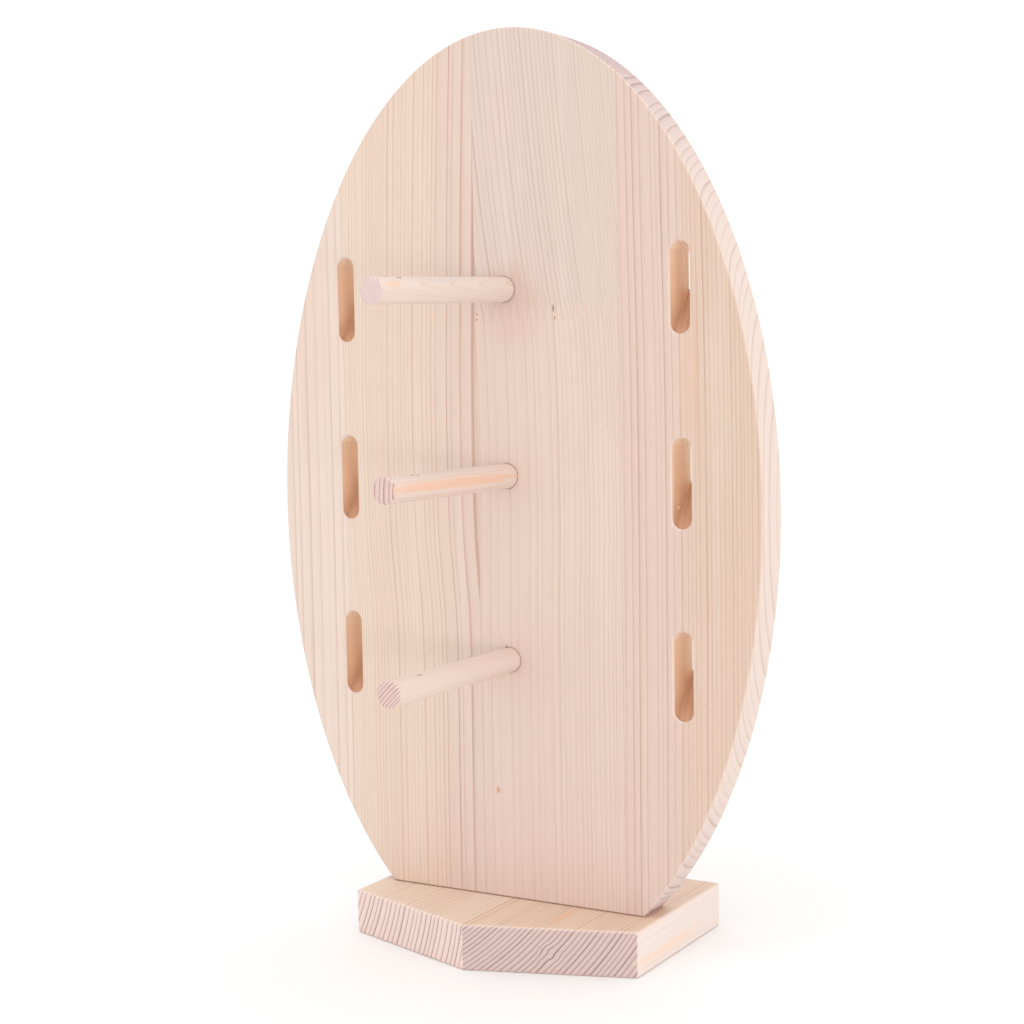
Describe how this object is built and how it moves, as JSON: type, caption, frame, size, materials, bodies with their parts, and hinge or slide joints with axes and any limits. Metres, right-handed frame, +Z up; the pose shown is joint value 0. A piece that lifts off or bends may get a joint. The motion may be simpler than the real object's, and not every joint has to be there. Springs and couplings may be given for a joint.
{
  "type": "display stand",
  "caption": "Free-standing pine display stand: oval upright board on a pentagonal base, with round pegs on its centre line and ramped vertical slots beside them.",
  "frame": {"origin": "on the base's underside, on the stand's centre line and in the middle plane of the upright board", "axes": "+Z up along the oval board, the pegs point along -Y, +X to the right of someone facing the pegs"},
  "size_m": [0.218, 0.1451, 0.3635],
  "materials": {
    "outer_left_pine": "sanded, unfinished pine",
    "left_pine": "sanded, unfinished pine",
    "upper_middle_pine": "sanded, unfinished pine",
    "lower_middle_pine": "sanded, unfinished pine",
    "right_pine": "sanded, unfinished pine",
    "peg_pine": "sanded, unfinished pine",
    "base_left_pine": "sanded, unfinished pine",
    "base_right_pine": "sanded, unfinished pine",
    "screw_steel": "zinc plated"
  },
  "bodies": {
    "root": {"outer_left_stave": "outer_left_pine", "left_stave": "left_pine", "middle_stave_upper": "upper_middle_pine", "middle_stave_lower": "lower_middle_pine", "right_stave": "right_pine", "top_peg": "peg_pine", "middle_peg": "peg_pine", "bottom_peg": "peg_pine", "base_left_stave": "base_left_pine", "base_right_stave": "base_right_pine", "left_screw": "screw_steel", "right_screw": "screw_steel"}
  },
  "joints": []
}
